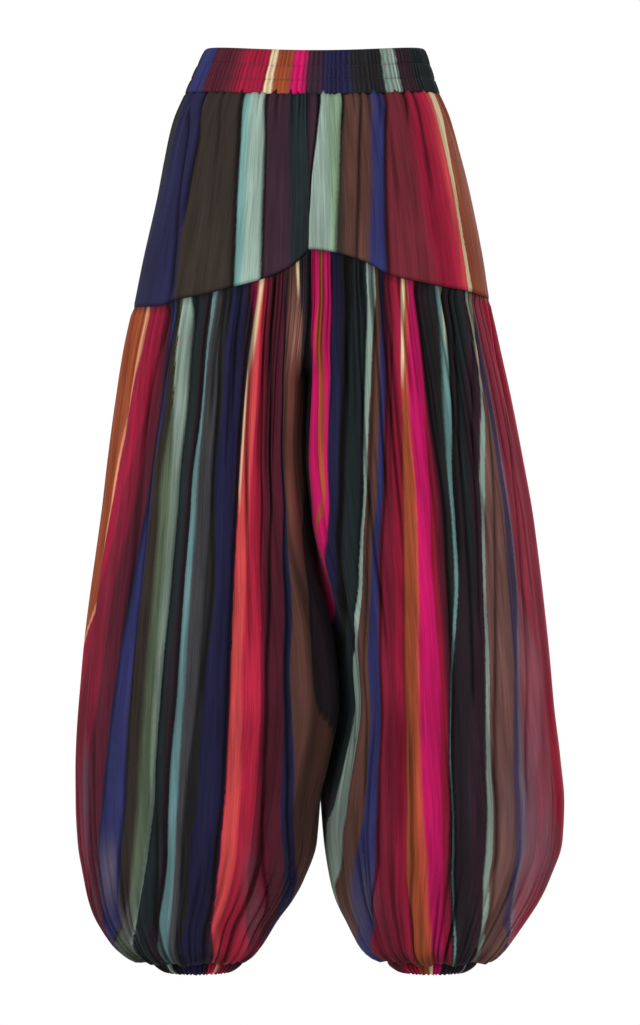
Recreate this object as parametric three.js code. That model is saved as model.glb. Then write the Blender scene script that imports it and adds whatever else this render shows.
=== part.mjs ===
// Balloon trousers, filled out as they hang: an elastic waistband, a hip yoke whose seam dips
// at the sides, and full legs gathered on to the yoke and drawn in by narrow elastic cuffs.
// Millimetres, +Z up, the front towards -Y and the wearer's left towards +X.
// The origin is the middle of the waistband, where the wearer's waist holds the garment.
import * as THREE from 'three';

// Cloth and seams
const LEG_WALL = 2;
const YOKE_WALL = 2;
const BAND_WALL = 2.6;
const CUFF_WALL = 2.2;
const HALF_GAP = 0.2;

// Heights
const BAND_TOP = 24;
const BAND_FOOT = -24;
const FRONT_DIP = 12;
const CROTCH_BLEND_TOP = -200;
const CROTCH = -352;
const LEG_FOOT = -999;
const CUFF_FOOT = -1016;

// Half sections of the filled garment, from the waist down. side is the half width, front and
// back the depths before and behind the side seam, inner how far the inseam is from the middle,
// press how flat the legs press on each other (0 round, 1 flat), sway how far the section stands
// to one side, and lap how far the middle of the front leans to the wearer's left: the right
// leg laps over the left one where it is more than 0, and the left one where it is less.
const FIGURE = [
  { z: 24, side: 123, front: 96, back: 100, inner: 0, press: 0, sway: 0, lap: 0 },
  { z: -24, side: 141, front: 104, back: 110, inner: 0, press: 0, sway: -3, lap: -5 },
  { z: -56, side: 155, front: 110, back: 122, inner: 0, press: 0, sway: -3, lap: -5 },
  { z: -100, side: 167, front: 117, back: 134, inner: 0, press: 0, sway: -2, lap: -5 },
  { z: -146, side: 177, front: 122, back: 142, inner: 0, press: 0, sway: -1, lap: -5 },
  { z: -212, side: 191, front: 126, back: 146, inner: 0, press: 0.1, sway: -2, lap: -5 },
  { z: -257, side: 199, front: 127, back: 145, inner: 0, press: 0.3, sway: -3, lap: -4 },
  { z: -302, side: 209, front: 127, back: 142, inner: 0, press: 0.7, sway: -3, lap: -5 },
  { z: -370, side: 222, front: 125, back: 137, inner: 0.2, press: 1, sway: -1, lap: -8 },
  { z: -437, side: 233, front: 123, back: 133, inner: 1.5, press: 1, sway: 1, lap: -12 },
  { z: -505, side: 243, front: 122, back: 131, inner: 2, press: 1, sway: 3, lap: -9 },
  { z: -640, side: 260, front: 123, back: 131, inner: 2, press: 1, sway: 2, lap: 22 },
  { z: -707, side: 266, front: 125, back: 133, inner: 2, press: 1, sway: 2, lap: 31 },
  { z: -775, side: 272, front: 126, back: 135, inner: 2, press: 0.9, sway: 4, lap: 12 },
  { z: -820, side: 274, front: 126, back: 134, inner: 3, press: 0.7, sway: 6, lap: 0 },
  { z: -865, side: 272, front: 122, back: 129, inner: 5, press: 0.45, sway: 6, lap: 0 },
  { z: -909, side: 261, front: 113, back: 118, inner: 16, press: 0.2, sway: 2, lap: 0 },
  { z: -931, side: 253, front: 105, back: 109, inner: 25, press: 0.1, sway: -1, lap: 0 },
  { z: -954, side: 241, front: 94, back: 97, inner: 39, press: 0, sway: -4, lap: 0 },
  { z: -976, side: 225, front: 81, back: 83, inner: 52, press: 0, sway: -5, lap: 0 },
  { z: -988, side: 212, front: 70, back: 71, inner: 63, press: 0, sway: -4, lap: 0 },
  { z: -996, side: 199, front: 57, back: 57, inner: 76, press: 0, sway: -2, lap: 0 },
  { z: -999, side: 181, front: 38, back: 38, inner: 83, press: 0, sway: 0, lap: 0 },
];
const ROUND_POWER = 2;
const PRESSED_POWER = 6;
const LAP_DEPTH = 110;
const LAP_POWER = 4;

// The yoke's hem seam, from the centre (across 0) to the side seam (across 1)
const YOKE_HEM = [
  { across: 0, frontRight: -209, frontLeft: -209, backRight: -240, backLeft: -240 },
  { across: 0.05, frontRight: -219, frontLeft: -209.5, backRight: -241, backLeft: -241 },
  { across: 0.12, frontRight: -229, frontLeft: -211.5, backRight: -243, backLeft: -242 },
  { across: 0.3, frontRight: -243, frontLeft: -222, backRight: -250, backLeft: -247 },
  { across: 0.45, frontRight: -250, frontLeft: -237, backRight: -256, backLeft: -251 },
  { across: 0.6, frontRight: -257, frontLeft: -243, backRight: -261, backLeft: -255 },
  { across: 0.75, frontRight: -262, frontLeft: -248, backRight: -264, backLeft: -257 },
  { across: 0.85, frontRight: -268, frontLeft: -250, backRight: -266, backLeft: -257 },
  { across: 1, frontRight: -266, frontLeft: -257, backRight: -266, backLeft: -257 },
];

// Main folds of the leg pieces: across is the share from the side seam to the centre at the
// yoke, lean how far that share moves by the cuff, wide and deep are in millimetres, and from
// and to are shares of the leg's length.
const FOLDS_RIGHT = [
  { across: 0.1, lean: -0.02, wide: 15, deep: 4.5, from: 0.12, to: 0.9 },
  { across: 0.31, lean: -0.09, wide: 18, deep: 5.2, from: 0, to: 1 },
  { across: 0.42, lean: -0.04, wide: 14, deep: 5.0, from: 0.05, to: 1 },
  { across: 0.53, lean: -0.04, wide: 14, deep: 4.0, from: 0, to: 0.85 },
  { across: 0.61, lean: -0.05, wide: 15, deep: 5.0, from: 0, to: 1 },
  { across: 0.7, lean: -0.04, wide: 15, deep: 5.2, from: 0, to: 1 },
  { across: 0.77, lean: -0.06, wide: 14, deep: 5.0, from: 0.05, to: 0.9 },
  { across: 0.87, lean: -0.06, wide: 17, deep: 6.5, from: 0, to: 0.8 },
];
const FOLDS_LEFT = [
  { across: 0.09, lean: 0.02, wide: 15, deep: 4.0, from: 0.1, to: 0.85 },
  { across: 0.19, lean: 0.09, wide: 18, deep: 5.0, from: 0, to: 1 },
  { across: 0.31, lean: 0.1, wide: 14, deep: 5.0, from: 0.04, to: 0.9 },
  { across: 0.43, lean: 0.06, wide: 16, deep: 5.4, from: 0, to: 1 },
  { across: 0.56, lean: 0.08, wide: 14, deep: 4.5, from: 0, to: 0.8 },
  { across: 0.65, lean: 0.13, wide: 16, deep: 4.6, from: 0.05, to: 1 },
  { across: 0.75, lean: 0.15, wide: 18, deep: 5.6, from: 0, to: 0.9 },
  { across: 0.9, lean: 0.04, wide: 15, deep: 4.5, from: 0.02, to: 0.7 },
];
const FOLD_FADE = 0.12;
const FOLD_REACH = 420;

// Small gathers and puckers
const LEG_GATHERS = 20;
const LEG_STEPS_A_GATHER = 3;
const GATHER_RISE = 3.2;
const GATHER_LENGTH = 0.3;
const MID_GATHER = 0.25;
const CUFF_GATHER_LENGTH = 0.16;
const YOKE_GATHERS = 5;
const YOKE_RISE = 1.8;
const BAND_PUCKERS = 40;
const BAND_PUFF = 2.4;
const PUCKER_SHARE = 0.6;
const CUFF_WAVES = 12;
const CUFF_PUFF = 2.6;
const STEPS_A_WAVE = 4;
const YOKE_COLUMNS = 30;
const CENTRE_CALM = 30;
const NUDGE = 0.5;
const WOBBLE = 0.35;

// Rows: shares of a piece's height, or heights of the band with the puff that each row has
const LEG_ROWS = [0, 0.03, 0.08, 0.16, 0.28, 0.42, 0.57, 0.72, 0.83, 0.89, 0.93, 0.962, 0.985, 1];
const YOKE_ROWS = [0, 0.12, 0.3, 0.5, 0.75, 1];
const BAND_ROWS = [
  { z: BAND_TOP, puff: 0.35 },
  { z: 15.5, puff: 1 },
  { z: 6.5, puff: 0 },
  { z: -1, puff: 1 },
  { z: -8.5, puff: 0 },
  { z: -16.5, puff: 1 },
  { z: BAND_FOOT + HALF_GAP, puff: 0.1 },
];
const CUFF_ROWS = [
  { share: 0, puff: 0.2 },
  { share: 0.35, puff: 1 },
  { share: 0.7, puff: 0.9 },
  { share: 1, puff: 0.3 },
];

// Cloth colours, one for each kind of piece: the printed stripes average to these
const COLOURS = { band: 0x5c2436, yoke: 0x4a3a34, leg: 0x6e2a44, cuff: 0x3a2430 };

const mix = (a, b, t) => a + (b - a) * t;
const clamp01 = (t) => Math.min(1, Math.max(0, t));

function smooth(t) {
  const s = clamp01(t);
  return s * s * (3 - 2 * s);
}

// Slope of one column at row i of a table, kept small where the column turns
function slopeAt(table, key, column, i) {
  const rise = (j) => (table[j + 1][column] - table[j][column]) / (table[j + 1][key] - table[j][key]);
  if (i === 0) return rise(0);
  if (i === table.length - 1) return rise(i - 1);
  const before = rise(i - 1);
  const after = rise(i);
  return before * after <= 0 ? 0 : (2 * before * after) / (before + after);
}

// Smooth value of one column where the key column is at; the rows run up or down in order
function curveAt(table, key, column, at) {
  const way = Math.sign(table[1][key] - table[0][key]);
  let i = 0;
  while (i < table.length - 2 && (at - table[i + 1][key]) * way > 0) i++;
  const a = table[i];
  const b = table[i + 1];
  const span = b[key] - a[key];
  const t = clamp01((at - a[key]) / span);
  const pullA = (1 - t) * (1 - t) * t * span * slopeAt(table, key, column, i);
  const pullB = t * t * (1 - t) * span * slopeAt(table, key, column, i + 1);
  return mix(a[column], b[column], smooth(t)) + pullA - pullB;
}

function sectionAt(z) {
  const section = {};
  for (const column of ['side', 'front', 'back', 'inner', 'press', 'sway', 'lap']) {
    section[column] = curveAt(FIGURE, 'z', column, z);
  }
  return section;
}

// One quarter's section at a height: an oval about the centre x, which moves from the middle of
// the body to the middle of the leg as the legs part, and which is flatter on its inner side
function ovalAt(face, z) {
  const s = sectionAt(z);
  const apart = smooth((CROTCH_BLEND_TOP - z) / (CROTCH_BLEND_TOP - CROTCH));
  const centre = (apart * (s.side + s.inner)) / 2;
  return {
    side: s.side,
    inner: s.inner,
    apart,
    centre,
    halfWidth: s.side - centre,
    depth: face < 0 ? s.front : s.back,
    innerPower: mix(ROUND_POWER, PRESSED_POWER, s.press),
  };
}

// How far along its half width a point is, raised to the oval's power: 1 at the oval's ends
function acrossShare(oval, x) {
  const share = (x - oval.centre) / oval.halfWidth;
  return Math.abs(share) ** (share < 0 ? oval.innerPower : ROUND_POWER);
}

// Share of the way from the centre (0) to the side (1) for the cloth's share u
const acrossAt = (u) => (1 + Math.cos(u * Math.PI)) / 2;

// The cloth's smooth face for one quarter of the garment, before it sways or laps. The share u
// runs from the side seam (0) to the centre seam or the inseam (1), and a line of one share
// hangs straight down.
function quarterPoint(face, u, z) {
  const oval = ovalAt(face, z);
  const x = Math.max(HALF_GAP, mix(oval.inner, oval.side, acrossAt(u)));
  const y = face * oval.depth * Math.sqrt(Math.max(0, 1 - acrossShare(oval, x)));
  return new THREE.Vector3(x, y, z);
}

// The outward normal, from how the oval's level changes in each direction
function quarterNormal(face, point) {
  const level = (x, y, z) => {
    const oval = ovalAt(face, z);
    return acrossShare(oval, x) + (y / oval.depth) ** 2;
  };
  const low = Math.max(LEG_FOOT, point.z - NUDGE);
  const { x, y, z } = point;
  return new THREE.Vector3(
    level(x + NUDGE, y, z) - level(x - NUDGE, y, z),
    level(x, y + NUDGE, z) - level(x, y - NUDGE, z),
    level(x, y, low + 2 * NUDGE) - level(x, y, low),
  ).normalize();
}

// Mirrors a point for the leg it belongs to, then sways the section and laps the legs
function dress(point, leg) {
  const s = sectionAt(point.z);
  const across = Math.min(1, Math.abs(point.x) / s.side);
  const lap = s.lap * (-point.y / LAP_DEPTH) * (1 - across) ** LAP_POWER;
  return new THREE.Vector3(point.x * leg + s.sway + lap, point.y, point.z);
}

// A point of a quarter piece, moved out from the smooth face, and kept on its own side of the
// seams and above the cuff
function clothPoint(piece, u, z, out) {
  const point = quarterPoint(piece.face, u, z);
  point.addScaledVector(quarterNormal(piece.face, point), out);
  point.x = Math.max(HALF_GAP, point.x);
  point.y = piece.face * Math.max(HALF_GAP, piece.face * point.y);
  point.z = Math.max(LEG_FOOT, point.z);
  return dress(point, piece.leg);
}

// The yoke seam's height, straight between the columns that the yoke and the leg share
function hemAt(piece, u) {
  const at = clamp01(u) * YOKE_COLUMNS;
  const i = Math.min(YOKE_COLUMNS - 1, Math.floor(at));
  const height = (step) => curveAt(YOKE_HEM, 'across', piece.hem, acrossAt(step / YOKE_COLUMNS));
  return mix(height(i), height(i + 1), at - i);
}

// An uneven wave from 0 to 1, with so many crests over the share u
function unevenWave(u, count, seed) {
  const drift = Math.sin(u * 17 + seed) + Math.sin(u * 41 + seed * 2);
  return 0.5 - 0.5 * Math.cos(2 * Math.PI * u * count + WOBBLE * drift);
}

// The main folds' depth below the smooth face
function foldAt(piece, u, v) {
  let depth = 0;
  for (const fold of piece.folds) {
    const fromFold = ((u - fold.across - fold.lean * v) * FOLD_REACH) / fold.wide;
    const fadeIn = smooth((v - fold.from) / FOLD_FADE + 1);
    const fadeOut = smooth((fold.to - v) / FOLD_FADE + 0.5);
    depth += fold.deep * Math.exp(-fromFold * fromFold) * fadeIn * fadeOut;
  }
  return depth;
}

// How high the small gathers stand: high at the yoke and the cuff, low on the full leg
function gatherRise(v) {
  const atYoke = 1 - smooth(v / GATHER_LENGTH);
  const atCuff = smooth((v - 1 + CUFF_GATHER_LENGTH) / CUFF_GATHER_LENGTH);
  return GATHER_RISE * Math.max(MID_GATHER, atYoke, atCuff);
}

// Triangles between two grids of points, the outer one finer along its rows, with the rims
// closed; a ring has no side rims because its ends meet
function wallGeometry(outer, inner, isRing) {
  const points = [...outer.flat(), ...inner.flat()];
  const faces = [];
  const columns = outer[0].length;
  const innerColumns = inner[0].length;
  const outerAt = (r, c) => r * columns + c;
  const innerAt = (r, c) => outer.length * columns + r * innerColumns + c;
  for (let r = 0; r < outer.length - 1; r++) {
    for (let c = 0; c < columns - 1; c++) {
      faces.push([outerAt(r, c), outerAt(r, c + 1), outerAt(r + 1, c + 1)]);
      faces.push([outerAt(r, c), outerAt(r + 1, c + 1), outerAt(r + 1, c)]);
    }
  }
  for (let r = 0; r < inner.length - 1; r++) {
    for (let c = 0; c < innerColumns - 1; c++) {
      faces.push([innerAt(r, c), innerAt(r + 1, c + 1), innerAt(r, c + 1)]);
      faces.push([innerAt(r, c), innerAt(r + 1, c), innerAt(r + 1, c + 1)]);
    }
  }
  const rowOf = (at, row, count) => Array.from({ length: count }, (_, c) => at(row, c));
  const columnOf = (at, column, count) => Array.from({ length: count }, (_, r) => at(r, column));
  const outerFoot = rowOf(outerAt, outer.length - 1, columns);
  const innerFoot = rowOf(innerAt, inner.length - 1, innerColumns);
  stitch(faces, rowOf(outerAt, 0, columns).reverse(), rowOf(innerAt, 0, innerColumns).reverse());
  stitch(faces, outerFoot, innerFoot);
  if (!isRing) {
    stitch(faces, columnOf(outerAt, 0, outer.length), columnOf(innerAt, 0, inner.length));
    const outerEnd = columnOf(outerAt, columns - 1, outer.length).reverse();
    const innerEnd = columnOf(innerAt, innerColumns - 1, inner.length).reverse();
    stitch(faces, outerEnd, innerEnd);
  }
  return solidFrom(points, faces);
}

// Triangles from a fine edge to a coarse one beside it, which has a whole fraction of its steps
function stitch(faces, fine, coarse) {
  const ratio = (fine.length - 1) / (coarse.length - 1);
  for (let j = 0; j < coarse.length - 1; j++) {
    const middle = j * ratio + Math.ceil(ratio / 2);
    for (let i = j * ratio; i < (j + 1) * ratio; i++) {
      faces.push([fine[i], fine[i + 1], i < middle ? coarse[j] : coarse[j + 1]]);
    }
    faces.push([coarse[j], fine[middle], coarse[j + 1]]);
  }
}

// A geometry of the triangles, turned so that its faces point out
function solidFrom(points, faces) {
  let volume = 0;
  for (const [a, b, c] of faces) {
    volume += points[a].dot(new THREE.Vector3().crossVectors(points[b], points[c]));
  }
  const order = volume > 0 ? faces : faces.map(([a, b, c]) => [a, c, b]);
  const geometry = new THREE.BufferGeometry().setFromPoints(points);
  geometry.setIndex(order.flat());
  geometry.computeVertexNormals();
  return geometry;
}

function shares(count) {
  return Array.from({ length: count + 1 }, (_, i) => i / count);
}

// Folds and gathers lie flat near the centre seam, above where the legs part
function calmAt(u, z) {
  const oval = ovalAt(-1, z);
  return mix(smooth((acrossAt(u) * oval.side) / CENTRE_CALM), 1, oval.apart ** 2);
}

// A leg piece: the inner face follows the main folds, and the small gathers stand on the
// outer face
function legGeometry(piece) {
  const columns = LEG_GATHERS * LEG_STEPS_A_GATHER;
  const heightAt = (u, v) => mix(hemAt(piece, u) - HALF_GAP, LEG_FOOT, v);
  const outPoint = (u, v) => {
    const z = heightAt(u, v);
    const gather = gatherRise(v) * unevenWave(u, LEG_GATHERS, piece.seed);
    return clothPoint(piece, u, z, calmAt(u, z) * (gather - foldAt(piece, u, v)));
  };
  const inPoint = (u, v) => {
    const z = heightAt(u, v);
    return clothPoint(piece, u, z, -LEG_WALL - calmAt(u, z) * foldAt(piece, u, v));
  };
  const outer = LEG_ROWS.map((v) => shares(columns).map((u) => outPoint(u, v)));
  const inner = LEG_ROWS.map((v) => shares(columns / 2).map((u) => inPoint(u, v)));
  return wallGeometry(outer, inner, false);
}

// How far the front waist dips below the sides and back, at the cloth's share u
const dipAt = (face, u) => (face < 0 ? FRONT_DIP * (1 - acrossAt(u) ** 2) : 0);

// A yoke piece, smooth but for the soft gathers under the elastic
function yokeGeometry(piece) {
  const heightAt = (u, v) => {
    const top = BAND_FOOT - HALF_GAP - dipAt(piece.face, u);
    return mix(top, hemAt(piece, u) + HALF_GAP, v);
  };
  const outPoint = (u, v) => {
    const z = heightAt(u, v);
    const rise = YOKE_RISE * (1 - v) * unevenWave(u, YOKE_GATHERS, piece.seed);
    return clothPoint(piece, u, z, calmAt(u, z) * rise);
  };
  const inPoint = (u, v) => clothPoint(piece, u, heightAt(u, v), -YOKE_WALL);
  const outer = YOKE_ROWS.map((v) => shares(YOKE_COLUMNS).map((u) => outPoint(u, v)));
  const inner = YOKE_ROWS.map((v) => shares(YOKE_COLUMNS).map((u) => inPoint(u, v)));
  return wallGeometry(outer, inner, false);
}

// A point of the waistband, a whole ring that starts at the wearer's left side
function bandPoint(turn, z, out) {
  const s = sectionAt(z);
  const isFront = Math.sin(turn) < 0;
  const depth = isFront ? s.front : s.back;
  const dip = isFront ? FRONT_DIP * Math.sin(turn) ** 2 : 0;
  const x = (s.side + out) * Math.cos(turn) + s.sway;
  const y = (depth + out) * Math.sin(turn);
  return new THREE.Vector3(x, y, z - dip);
}

// The waistband: three elastic channels that puff between the rows of stitching, and pucker
function waistbandGeometry() {
  const columns = BAND_PUCKERS * STEPS_A_WAVE;
  const outPoint = (u, row) => {
    const pucker = PUCKER_SHARE * unevenWave(u, BAND_PUCKERS, 1) + 1 - PUCKER_SHARE;
    return bandPoint(u * 2 * Math.PI, row.z, BAND_PUFF * row.puff * pucker);
  };
  const outer = BAND_ROWS.map((row) => shares(columns).map((u) => outPoint(u % 1, row)));
  const edges = [BAND_ROWS[0], BAND_ROWS[BAND_ROWS.length - 1]];
  const inRow = (row) => shares(BAND_PUCKERS).map((u) => bandPoint(u * 2 * Math.PI, row.z, -BAND_WALL));
  return wallGeometry(outer, edges.map(inRow), true);
}

// A cuff: a short elastic tube, shirred all round
function cuffGeometry(leg) {
  const top = LEG_FOOT - 2 * HALF_GAP;
  const s = sectionAt(LEG_FOOT);
  const centre = (s.side + s.inner) / 2;
  const halfWidth = (s.side - s.inner) / 2;
  const point = (u, share, out) => {
    const turn = u * 2 * Math.PI;
    const x = leg * (centre + (halfWidth + out) * Math.cos(turn));
    return new THREE.Vector3(x, (s.front + out) * Math.sin(turn), mix(top, CUFF_FOOT, share));
  };
  const outPoint = (u, row) => point(u, row.share, CUFF_PUFF * row.puff * unevenWave(u, CUFF_WAVES, 2));
  const columns = CUFF_WAVES * STEPS_A_WAVE;
  const outer = CUFF_ROWS.map((row) => shares(columns).map((u) => outPoint(u % 1, row)));
  const inRow = (share) => shares(columns / 2).map((u) => point(u, share, -CUFF_WALL));
  return wallGeometry(outer, [inRow(0), inRow(1)], true);
}

function clothMesh(name, geometry, colour) {
  const material = new THREE.MeshStandardMaterial({ color: colour, roughness: 0.85, metalness: 0 });
  const mesh = new THREE.Mesh(geometry, material);
  mesh.name = name;
  return mesh;
}

// The four quarters: leg +1 is the wearer's left, face -1 the front
const QUARTERS = [
  { name: 'front_left', leg: 1, face: -1, hem: 'frontLeft', folds: FOLDS_LEFT, seed: 0.4 },
  { name: 'front_right', leg: -1, face: -1, hem: 'frontRight', folds: FOLDS_RIGHT, seed: 1.7 },
  { name: 'back_left', leg: 1, face: 1, hem: 'backLeft', folds: FOLDS_RIGHT, seed: 2.9 },
  { name: 'back_right', leg: -1, face: 1, hem: 'backRight', folds: FOLDS_LEFT, seed: 4.1 },
];

const group = new THREE.Group();
group.add(clothMesh('waistband', waistbandGeometry(), COLOURS.band));
for (const piece of QUARTERS) {
  group.add(clothMesh(`yoke_${piece.name}`, yokeGeometry(piece), COLOURS.yoke));
  group.add(clothMesh(`leg_${piece.name}`, legGeometry(piece), COLOURS.leg));
}
group.add(clothMesh('cuff_left', cuffGeometry(1), COLOURS.cuff));
group.add(clothMesh('cuff_right', cuffGeometry(-1), COLOURS.cuff));

export default group;
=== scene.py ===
"""Balloon trousers in striped sheer cloth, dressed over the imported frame. Metres, +Z up."""
import math

import bpy
import numpy as np
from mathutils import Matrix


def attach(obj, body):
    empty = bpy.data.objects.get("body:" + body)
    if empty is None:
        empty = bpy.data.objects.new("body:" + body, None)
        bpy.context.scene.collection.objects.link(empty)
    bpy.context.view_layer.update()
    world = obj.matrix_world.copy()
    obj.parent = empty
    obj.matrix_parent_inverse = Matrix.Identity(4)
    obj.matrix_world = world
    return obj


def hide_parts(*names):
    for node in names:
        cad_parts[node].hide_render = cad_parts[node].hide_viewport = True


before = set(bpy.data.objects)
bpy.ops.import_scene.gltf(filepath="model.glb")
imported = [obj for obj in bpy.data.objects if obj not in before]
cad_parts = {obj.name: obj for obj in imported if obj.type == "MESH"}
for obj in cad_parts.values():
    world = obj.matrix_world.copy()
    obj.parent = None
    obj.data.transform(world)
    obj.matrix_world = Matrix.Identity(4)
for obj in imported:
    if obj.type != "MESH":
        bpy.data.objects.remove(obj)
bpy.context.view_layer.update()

# Yoke: four smooth hip pieces of printed crinkle georgette, seamed at the centre front, the
# centre back and the sides. The dyes run down the cloth as soft painted stripes. The pieces
# hang from the elastic waistband, whose soft gathers run a little way into them.

# Half sections of the filled garment. Height, half width at the side seam, depth in front and
# behind, how far the inseam is from the middle, how flat the legs press on each other, how
# far the section stands to one side, and how far the middle of the front leans to the left.
FIGURE_COLUMNS = ("height", "side", "front", "back", "inner", "press", "sway", "lap")
FIGURE = np.array([
    (0.024, 0.123, 0.096, 0.100, 0.000, 0.00, 0.000, 0.000),
    (-0.024, 0.141, 0.104, 0.110, 0.000, 0.00, -0.003, -0.005),
    (-0.056, 0.155, 0.110, 0.122, 0.000, 0.00, -0.003, -0.005),
    (-0.100, 0.167, 0.117, 0.134, 0.000, 0.00, -0.002, -0.005),
    (-0.146, 0.177, 0.122, 0.142, 0.000, 0.00, -0.001, -0.005),
    (-0.212, 0.191, 0.126, 0.146, 0.000, 0.10, -0.002, -0.005),
    (-0.257, 0.199, 0.127, 0.145, 0.000, 0.30, -0.003, -0.004),
    (-0.302, 0.209, 0.127, 0.142, 0.000, 1.10, -0.003, -0.008),
    (-0.370, 0.222, 0.125, 0.137, 0.000, 2.00, -0.001, -0.015),
    (-0.437, 0.233, 0.123, 0.133, 0.000, 2.20, 0.001, -0.020),
    (-0.505, 0.243, 0.122, 0.131, 0.000, 2.00, 0.003, -0.015),
    (-0.640, 0.260, 0.123, 0.131, 0.000, 1.30, 0.002, 0.028),
    (-0.707, 0.266, 0.125, 0.133, 0.000, 1.00, 0.002, 0.036),
    (-0.775, 0.272, 0.126, 0.135, 0.0002, 0.90, 0.004, 0.020),
    (-0.820, 0.274, 0.126, 0.134, 0.0020, 0.70, 0.006, 0.006),
    (-0.865, 0.272, 0.122, 0.129, 0.005, 0.45, 0.006, 0.000),
    (-0.909, 0.261, 0.113, 0.118, 0.016, 0.20, 0.002, 0.000),
    (-0.931, 0.253, 0.105, 0.109, 0.025, 0.10, -0.001, 0.000),
    (-0.954, 0.241, 0.094, 0.097, 0.039, 0.00, -0.004, 0.000),
    (-0.976, 0.225, 0.081, 0.083, 0.052, 0.00, -0.005, 0.000),
    (-0.988, 0.212, 0.070, 0.071, 0.063, 0.00, -0.004, 0.000),
    (-0.996, 0.199, 0.057, 0.057, 0.076, 0.00, -0.002, 0.000),
    (-0.999, 0.181, 0.038, 0.038, 0.083, 0.00, 0.000, 0.000),
])
LEGS_PART_FROM = -0.200
LEGS_PART_BY = -0.352
ROUND_POWER = 2
PRESSED_POWER = 6
LAP_DEPTH = 0.070
BACK_LAP_DEPTH = 0.140
LAP_POWER = 4
NUDGE = 0.0005
LEG_FOOT = -0.999

# The yoke's hem seam, from the centre (across 0) to the side seam (across 1)
HEM_COLUMNS = ("across", "front_right", "front_left", "back_right", "back_left")
HEM = np.array([
    (0.00, -0.209, -0.2090, -0.240, -0.240),
    (0.05, -0.219, -0.2095, -0.241, -0.241),
    (0.12, -0.229, -0.2115, -0.243, -0.242),
    (0.30, -0.243, -0.2220, -0.250, -0.247),
    (0.45, -0.250, -0.2370, -0.256, -0.251),
    (0.60, -0.257, -0.2430, -0.261, -0.255),
    (0.75, -0.262, -0.2480, -0.264, -0.257),
    (0.85, -0.268, -0.2500, -0.266, -0.257),
    (1.00, -0.266, -0.2570, -0.266, -0.257),
])
BAND_FOOT = -0.024
FRONT_DIP = 0.012


def smooth(t):
    """Eases from 0 to 1 as t goes from 0 to 1: three t squared less two t cubed."""
    t = np.clip(t, 0, 1)
    return t * t * (3 - 2 * t)


def curve(at, keys, values):
    """The value where the key is at. Between two rows it eases from one to the other, and its
    slope at a row is the harmonic mean of the slopes on both sides, or none where they turn."""
    keys = np.asarray(keys, float)
    values = np.asarray(values, float)
    steps = np.diff(keys)
    rises = np.diff(values) / steps
    turns = rises[:-1] * rises[1:]
    total = np.where(turns > 0, rises[:-1] + rises[1:], 1)
    slopes = np.concatenate([rises[:1], np.where(turns > 0, 2 * turns / total, 0), rises[-1:]])
    way = np.sign(steps[0])
    row = np.clip(np.searchsorted(keys * way, np.asarray(at) * way) - 1, 0, len(keys) - 2)
    t = np.clip((at - keys[row]) / steps[row], 0, 1)
    pull = (1 - t) ** 2 * t * slopes[row] - t * t * (1 - t) * slopes[row + 1]
    return values[row] + (values[row + 1] - values[row]) * smooth(t) + pull * steps[row]


def section_at(height):
    """Every column of the figure at a height."""
    heights = FIGURE[:, 0]
    return {name: curve(height, heights, FIGURE[:, i]) for i, name in enumerate(FIGURE_COLUMNS)}


def oval_at(face, height):
    """The oval that one quarter follows: its centre moves from the middle of the body to the
    middle of the leg as the legs part, and its inner side is flatter."""
    section = section_at(height)
    apart = smooth((LEGS_PART_FROM - height) / (LEGS_PART_FROM - LEGS_PART_BY))
    centre = apart * (section["side"] + section["inner"]) / 2
    return {
        "side": section["side"],
        "inner": section["inner"],
        "apart": apart,
        "centre": centre,
        "half_width": section["side"] - centre,
        "depth": section["front"] if face < 0 else section["back"],
        "inner_power": ROUND_POWER + (PRESSED_POWER - ROUND_POWER) * section["press"],
    }


def across_level(oval, x):
    """How far along its half width a point is, raised to the oval's power: 1 at the ends."""
    share = (x - oval["centre"]) / oval["half_width"]
    return np.abs(share) ** np.where(share < 0, oval["inner_power"], ROUND_POWER)


def across_at(share):
    """Share of the way from the centre (0) to the side (1), for the cloth's share across."""
    return (1 + np.cos(share * np.pi)) / 2


def cloth_point(quarter, share, height, out):
    """A point of a quarter piece. x goes from the inseam to the side as the cosine of the
    cloth's share, y follows from the oval, and the point then stands out along the slope of
    the oval's level. Last, the section sways and the middle of the front leans."""
    face, leg = quarter["face"], quarter["leg"]
    oval = oval_at(face, height)
    x = oval["inner"] + (oval["side"] - oval["inner"]) * across_at(share)
    y = face * oval["depth"] * np.sqrt(np.maximum(0, 1 - across_level(oval, x)))

    def level(px, py, pz):
        around = oval_at(face, pz)
        return across_level(around, px) + (py / around["depth"]) ** 2

    low = np.maximum(LEG_FOOT, height - NUDGE)
    slope = np.stack([
        level(x + NUDGE, y, height) - level(x - NUDGE, y, height),
        level(x, y + NUDGE, height) - level(x, y - NUDGE, height),
        level(x, y, low + 2 * NUDGE) - level(x, y, low),
    ], axis=-1)
    normal = slope / np.linalg.norm(slope, axis=-1, keepdims=True)
    point = np.stack([x, y, height], axis=-1) + normal * out[..., None]
    px = np.maximum(0, point[..., 0])
    py = face * np.maximum(0, face * point[..., 1])
    pz = np.maximum(LEG_FOOT, point[..., 2])
    section = section_at(pz)
    inward = 1 - np.minimum(1, px / section["side"])
    forward = np.where(py < 0, smooth(-py / LAP_DEPTH), -py / BACK_LAP_DEPTH)
    lean = section["sway"] + section["lap"] * forward * inward ** LAP_POWER
    return np.stack([px * leg + lean, py, pz], axis=-1)


def hem_height(quarter, share):
    """The yoke seam's height at the cloth's share."""
    column = HEM_COLUMNS.index(quarter["hem"])
    return curve(across_at(share), HEM[:, 0], HEM[:, column])


def grid(rows, columns):
    """Shares from 0 to 1 down and across a piece, one of each for every point."""
    down, across = np.meshgrid(np.linspace(0, 1, rows), np.linspace(0, 1, columns), indexing="ij")
    return across, down


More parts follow.
